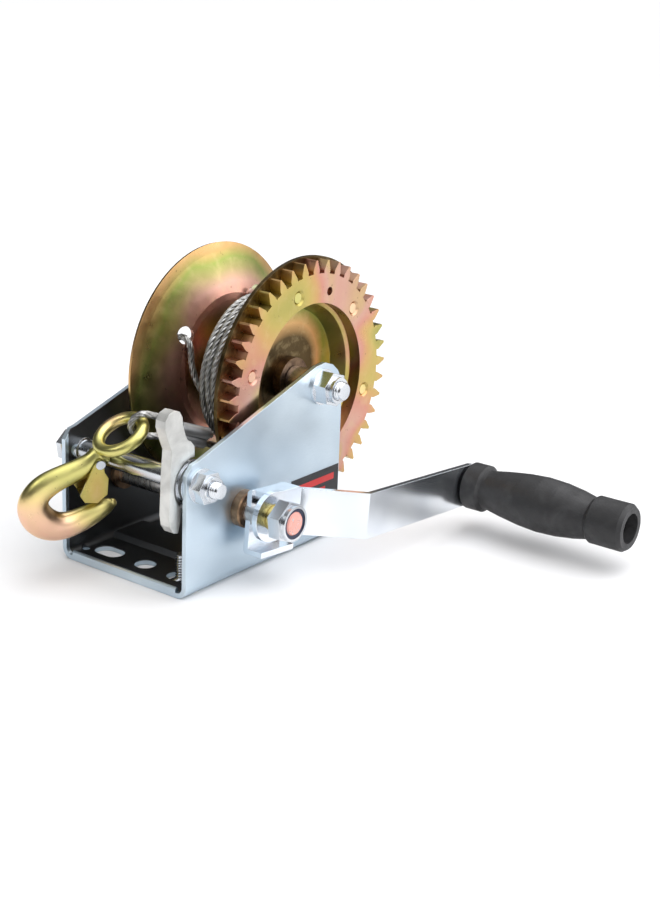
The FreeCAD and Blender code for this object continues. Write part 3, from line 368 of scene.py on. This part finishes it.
def bronze():
    look = Look("sintered_bronze", metal=1, rough=0.4)
    colour = look.ramp(look.noise(120, 5), [(0.35, (0.10, 0.06, 0.04)), (0.65, (0.34, 0.22, 0.13))])
    look.into("Base Color", colour)
    look.bumps([(look.noise(1200, 3), 0.25, 0.0002)], 0.0003)
    return look.material


def make_materials():
    white = (0.93, 0.95, 0.98)
    return {
        "zinc_plate": channel_zinc(),
        "bright_zinc": zinc("fastener_zinc", (0.42, 0.44, 0.47), (0.60, 0.63, 0.66),
                            (0.8, 0.82, 0.85), 0.2, (6, 1, 1), 0.0003).material,
        "white_zinc": zinc("arm_zinc", (0.70, 0.74, 0.80), (0.86, 0.90, 0.94), white, 0.2,
                           (1, 8, 8)).material,
        "yellow_zinc": yellow_chromate("yellow_chromate"),
        "machined_steel": turned_steel("turned_steel", (0.62, 0.61, 0.60), 0.3).material,
        "bronze_bushing": bronze(),
        "cast_zinc": cast_metal("cast_zinc", (0.52, 0.52, 0.50), (0.74, 0.74, 0.71), 0.42),
        "dull_alloy": cast_metal("pressed_alloy", (0.24, 0.25, 0.26), (0.44, 0.45, 0.46), 0.46),
        "wire_rope": rope_steel(),
        "label_vinyl": plastic("label_black", (0.012, 0.012, 0.014), 0.34, 2500, 0.05),
        "black_stud": cast_metal("black_oxide", (0.10, 0.10, 0.10), (0.30, 0.30, 0.29), 0.38),
        "nylon": plastic("nylon_blue", (0.012, 0.018, 0.05), 0.4, 2500, 0.05),
        "black_grip": plastic("grip_black", (0.016, 0.016, 0.017), 0.5, 1300, 0.35)}


def dress_nodes(looks):
    for row in frame["record"]["subparts"]:
        piece = nodes[row["node"]]
        for place in piece.material_slots:
            place.material = looks[row["material_slot"]]
    special = {
        "pinion_shaft": shaft_steel(),
        "cable_hook": yellow_chromate("hook_chromate", HOOK_CLOUDS),
        "gear_rivets": yellow_chromate("rivet_chromate", HOOK_CLOUDS),
        "drum_flange_left": yellow_chromate("left_flange_chromate_and_shade", LEFT_RINGS_AND_SHADE, True),
        "drum_flange_right": yellow_chromate("right_flange_chromate_and_shade", RIGHT_RINGS_AND_SHADE, True)}
    for name, look in special.items():
        for place in nodes[name].material_slots:
            place.material = look


# ---------------------------------------------------------------- mesh helpers
def new_piece(name, body, slot, looks, points, faces, uvs=None, smooth=40):
    """A closed mesh piece that rides on a body."""
    mesh = bpy.data.meshes.new(name)
    mesh.from_pydata([tuple(p) for p in points], [], faces)
    if uvs:
        layer = mesh.uv_layers.new(name="UVMap")
        for corner, uv in zip(layer.data, uvs):
            corner.uv = uv
    return finish_piece(name, body, slot, looks, mesh, smooth)


def finish_piece(name, body, slot, looks, mesh, smooth=40):
    built = bmesh.new()
    built.from_mesh(mesh)
    bmesh.ops.recalc_face_normals(built, faces=built.faces)
    built.to_mesh(mesh)
    built.free()
    mesh.shade_smooth()
    mesh.set_sharp_from_angle(angle=math.radians(smooth))
    piece = bpy.data.objects.new(name, mesh)
    bpy.context.collection.objects.link(piece)
    mesh.materials.clear()
    mesh.materials.append(looks[slot])
    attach(piece, body)
    return piece


def rings_mesh(rings, looped=False):
    """Faces that join rings of the same number of points, with flat caps unless looped."""
    count = len(rings[0])
    faces = []
    turns = len(rings) if looped else len(rings) - 1
    for i in range(turns):
        here, there = i * count, (i + 1) % len(rings) * count
        for j in range(count):
            k = (j + 1) % count
            faces.append((here + j, here + k, there + k, there + j))
    if not looped:
        faces.append(tuple(reversed(range(count))))
        faces.append(tuple(range((len(rings) - 1) * count, len(rings) * count)))
    return [p for ring in rings for p in ring], faces


# ---------------------------------------------------------------- wire rope
ROPE = 2.1 * MM
STRANDS = 6
LAY = 26 * MM
LOBE = 5


def rope_section():
    """(radius, angle) points round a six-strand rope."""
    strand = ROPE / 3
    points = []
    for s in range(STRANDS):
        middle = 2 * math.pi * s / STRANDS
        for i in range(LOBE):
            lean = math.radians(-76 + 152 * i / (LOBE - 1))
            across = 2 * strand + strand * math.cos(lean)
            aside = strand * math.sin(lean)
            points.append((math.hypot(across, aside), middle + math.atan2(aside, across)))
    return points


def rope_rings(path, start_twist=0.0):
    """Rings of a laid rope along a path, its strands turning once in a lay length."""
    section = rope_section()
    heading = (path[1] - path[0]).normalized()
    side = heading.orthogonal().normalized()
    rings = []
    run = 0.0
    for i, point in enumerate(path):
        before, after = path[max(i - 1, 0)], path[min(i + 1, len(path) - 1)]
        tangent = (after - before).normalized()
        side = (side - tangent * side.dot(tangent)).normalized()
        other = tangent.cross(side)
        if i:
            run += (point - path[i - 1]).length
        twist = start_twist + 2 * math.pi * run / LAY
        rings.append([point + side * (r * math.cos(a + twist)) + other * (r * math.sin(a + twist))
                      for r, a in section])
    return rings


def rope_piece(name, body, looks, paths):
    """Ropes along one or more open paths, as one piece of closed tubes."""
    points, faces, uvs = [], [], []
    for index, path in enumerate(paths):
        rings = rope_rings(path, 0.7 * index)
        some, sides = rings_mesh(rings)
        count = len(rings[0])
        start = len(points)
        for face in sides:
            faces.append(tuple(start + v for v in face))
            for v in face:
                uvs.append((v % count / LOBE * 0.16, v // count * 0.05))
        points += some
    return new_piece(name, body, "wire_rope", looks, points, faces, uvs, 50)


def on_drum(x, radius, angle):
    """A point beside the drum's axle: x along it, then radius and angle about it."""
    return Vector((x, DRUM_Y + radius * math.cos(angle), DRUM_Z + radius * math.sin(angle)))


drum_low, drum_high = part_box("cable_winding")
DRUM_Y = (drum_low[1] + drum_high[1]) / 2
DRUM_Z = (drum_low[2] + drum_high[2]) / 2
PACK_OUT = (drum_high[2] - drum_low[2]) / 2
PACK_LEFT = drum_low[0]


def make_winding(looks):
    """The wound cable's separate turns: top layer, two turns a layer at the open side, last wrap."""
    paths = []
    step = math.radians(2)
    top = PACK_OUT - ROPE
    rounds = int(2 * math.pi / step)

    def wander(x, turn, angle, amount):
        spot = Vector((x * 300, 2.2 * math.cos(angle) + turn, 2.2 * math.sin(angle)))
        return amount * smooth_noise.noise(spot)

    def turn_path(middle, radius, number, shift):
        path = []
        for i in range(rounds - 1):
            angle = step * i
            slide = 0.5 - 0.5 * math.cos(math.pi * min(1, max(0, (angle - shift) / 0.9)))
            x = middle + (slide - 0.5) * 2 * 0.12 * ROPE
            path.append(on_drum(x + wander(x, number, angle, 0.9 * MM),
                                radius + wander(x, number + 7, angle, 0.5 * MM), angle))
        return path

    for turn in range(6):
        paths.append(turn_path(PACK_LEFT + ROPE * (1.05 + 2 * turn), top, turn, 3.6))
    for layer in range(1, 6):
        lean = 0.35 * ROPE if layer % 2 else 0.1 * ROPE
        radius = top - 1.82 * ROPE * layer
        paths.append(turn_path(PACK_LEFT + ROPE * 1.1 + lean, radius, 11 + layer, 2.2))
        paths.append(turn_path(PACK_LEFT + ROPE * 3.1 + lean, radius, 21 + layer, 2.2))
    last = []
    last_x, last_travel, last_steps = 17 * MM, 11 * MM, 124
    leave_angle = math.radians(245)
    for i in range(last_steps + 1):
        angle = leave_angle + step * i * 1.3
        along = i / last_steps
        sink = max(0.0, along - 0.8) / 0.2
        radius = PACK_OUT + ROPE + 0.3 * MM - sink * 1.2 * ROPE
        last.append(on_drum(last_x - last_travel * along, radius, angle))
    paths.append(last)
    piece = rope_piece("wound_cable", "drum", looks, paths)
    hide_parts("cable_winding")

    inner, outer = 27 * MM, top - 0.6 * ROPE
    left, right = PACK_LEFT + 2.4 * ROPE, drum_high[0] - 0.3 * MM
    outline = [(left, inner), (left, outer), (right, outer), (right, inner)]
    rings = [[on_drum(x, r, 2 * math.pi * i / 72) for x, r in outline] for i in range(72)]
    points, faces = rings_mesh(rings, looped=True)
    new_piece("wound_cable_inside", "drum", "wire_rope", looks, points, faces)


def spline_points(name, route):
    """Points along one smooth NURBS line through a route."""
    curve = bpy.data.curves.new(name, "CURVE")
    curve.dimensions = "3D"
    curve.resolution_u = 24
    spline = curve.splines.new("NURBS")
    spline.points.add(len(route) - 1)
    for point, place in zip(spline.points, route):
        point.co = (*(t * MM for t in place), 1)
    spline.order_u = 3
    spline.use_endpoint_u = True
    holder = bpy.data.objects.new(name, curve)
    bpy.context.collection.objects.link(holder)
    line = bpy.data.meshes.new_from_object(holder)
    points = [v.co.copy() for v in line.vertices]
    bpy.data.objects.remove(holder)
    bpy.data.meshes.remove(line)
    return points


def make_live_cable(looks):
    """The free stretch: off the drum, through the ferrule, round the hook's eye and back."""
    route = [(17, 78.67, 53.56), (18.6, 58.61, 61.5), (20.3, 39.4, 71.3), (6.26, 11.38, 81.82),
             (0.13, 2.2, 81.24), (-5.32, -9.1, 85.97), (0.02, -7.94, 97.99), (6.45, 4.0, 94.72),
             (8.96, 12.15, 87.57), (20.25, 34.64, 79.28)]
    path = spline_points("live_route", route)
    piece = rope_piece("live_cable_rope", "frame", looks, [path])
    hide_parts("live_cable")


def make_dead_end(looks):
    """The rope's other end, up the left flange's inner face and out through its hole."""
    route = [(-7.4, -28.5, -20.6), (-12, -33.05, -14.12), (-17.4, -37.05, -5.12),
             (-20.6, -39.65, 6.88), (-21, -39.55, 19.88), (-28, -39.55, 25.38),
             (-34.5, -40.05, 20.88)]
    placed = [(x, y + DRUM_Y / MM, z + DRUM_Z / MM) for x, y, z in route]
    path = spline_points("dead_route", placed)
    piece = rope_piece("dead_end_rope", "drum", looks, [path])
    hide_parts("cable_dead_end")


# ---------------------------------------------------------------- screw threads
def thread_rings(length, radius, pitch, segments=36):
    """Rings of a cut thread along X, chamfered at its end."""
    depth = 0.6 * pitch
    per_turn = 8
    count = int(length / pitch * per_turn)
    rings = []
    for i in range(count + 1):
        x = length * i / count
        ring = []
        for j in range(segments):
            angle = 2 * math.pi * j / segments
            phase = (x / pitch - j / segments) % 1
            groove = depth * abs(2 * phase - 1)
            limit = min(1.0, (length - x) / pitch)
            r = min(radius - groove, radius - depth * (1 - limit) * 0.9)
            ring.append(Vector((x, r * math.cos(angle), r * math.sin(angle))))
        rings.append(ring)
    return rings


def threaded(name, node, body, slot, looks, start, way, length, radius, pitch):
    """A copy of a CAD fastener, cut square at start, with a real thread from there on."""
    mesh = nodes[node].data.copy()
    built = bmesh.new()
    built.from_mesh(mesh)
    bmesh.ops.remove_doubles(built, verts=built.verts, dist=1e-6)
    everything = built.verts[:] + built.edges[:] + built.faces[:]
    cut = bmesh.ops.bisect_plane(built, geom=everything, plane_co=start, plane_no=way,
                                 clear_outer=True)
    edges = [e for e in cut["geom_cut"] if isinstance(e, bmesh.types.BMEdge)]
    bmesh.ops.contextual_create(built, geom=edges)
    points, faces = rings_mesh(thread_rings(length, radius, pitch))
    turn = Vector((1, 0, 0)).rotation_difference(Vector(way)).to_matrix()
    made = [built.verts.new(Vector(start) + turn @ p) for p in points]
    for face in faces:
        built.faces.new([made[v] for v in face])
    built.to_mesh(mesh)
    built.free()
    piece = finish_piece(name, body, slot, looks, mesh, 35)
    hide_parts(node)
    return piece


def make_threads(looks):
    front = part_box("front_bolt")
    rod_y = (front[0][1] + front[1][1]) / 2
    rod_z = (front[0][2] + front[1][2]) / 2
    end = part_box("front_nut")[1][0] - 0.4 * MM
    threaded("front_bolt_threaded", "front_bolt", "frame", "bright_zinc", looks,
             (end, rod_y, rod_z), (1, 0, 0), front[1][0] - end, 5 * MM, 1.5 * MM)
    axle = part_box("drum_axle_bolt")
    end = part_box("drum_axle_nut")[1][0] - 0.4 * MM
    threaded("axle_bolt_threaded", "drum_axle_bolt", "frame", "bright_zinc", looks,
             (end, DRUM_Y, DRUM_Z), (1, 0, 0), axle[1][0] - end, 6 * MM, 1.75 * MM)
    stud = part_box("base_stud")
    threaded("stud_threaded", "base_stud", "frame", "bright_zinc", looks,
             ((stud[0][0] + stud[1][0]) / 2, 0, 3.2 * MM), (0, 0, 1), stud[1][2] - 3.2 * MM,
             4 * MM, 1.6 * MM)


# ---------------------------------------------------------------- label print
def box_piece(name, low, high, look_slot, body, looks, material=None):
    corners = [(x, y, z) for x in (low[0], high[0]) for y in (low[1], high[1])
               for z in (low[2], high[2])]
    faces = [(0, 1, 3, 2), (4, 6, 7, 5), (0, 4, 5, 1), (2, 3, 7, 6), (0, 2, 6, 4), (1, 5, 7, 3)]
    piece = new_piece(name, body, look_slot, looks, corners, faces)
    if material:
        piece.data.materials[0] = material
    return piece


def make_label(looks):
    """Plain red bars in place of the label's print."""
    ink = plastic("label_red", (0.55, 0.03, 0.03), 0.4, 2500, 0.05)
    low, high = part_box("warning_label")
    face = high[0]
    width, height = high[1] - low[1], high[2] - low[2]
    rows = [(0.62, 0.80, 0.10, 0.90), (0.42, 0.50, 0.10, 0.72), (0.28, 0.34, 0.10, 0.84),
            (0.14, 0.20, 0.10, 0.60)]
    for number, (bottom, top, left, right) in enumerate(rows):
        box_piece(f"label_bar_{number}",
                  (face - 0.05 * MM, low[1] + left * width, low[2] + bottom * height),
                  (face + 0.08 * MM, low[1] + right * width, low[2] + top * height),
                  "label_vinyl", "frame", looks, ink)


# ---------------------------------------------------------------- the scene
make_camera()
make_world()
make_stage()
finishes = make_materials()
dress_nodes(finishes)
make_live_cable(finishes)
make_winding(finishes)
make_dead_end(finishes)
make_threads(finishes)
make_label(finishes)
bpy.context.scene.view_settings.view_transform = "Standard"
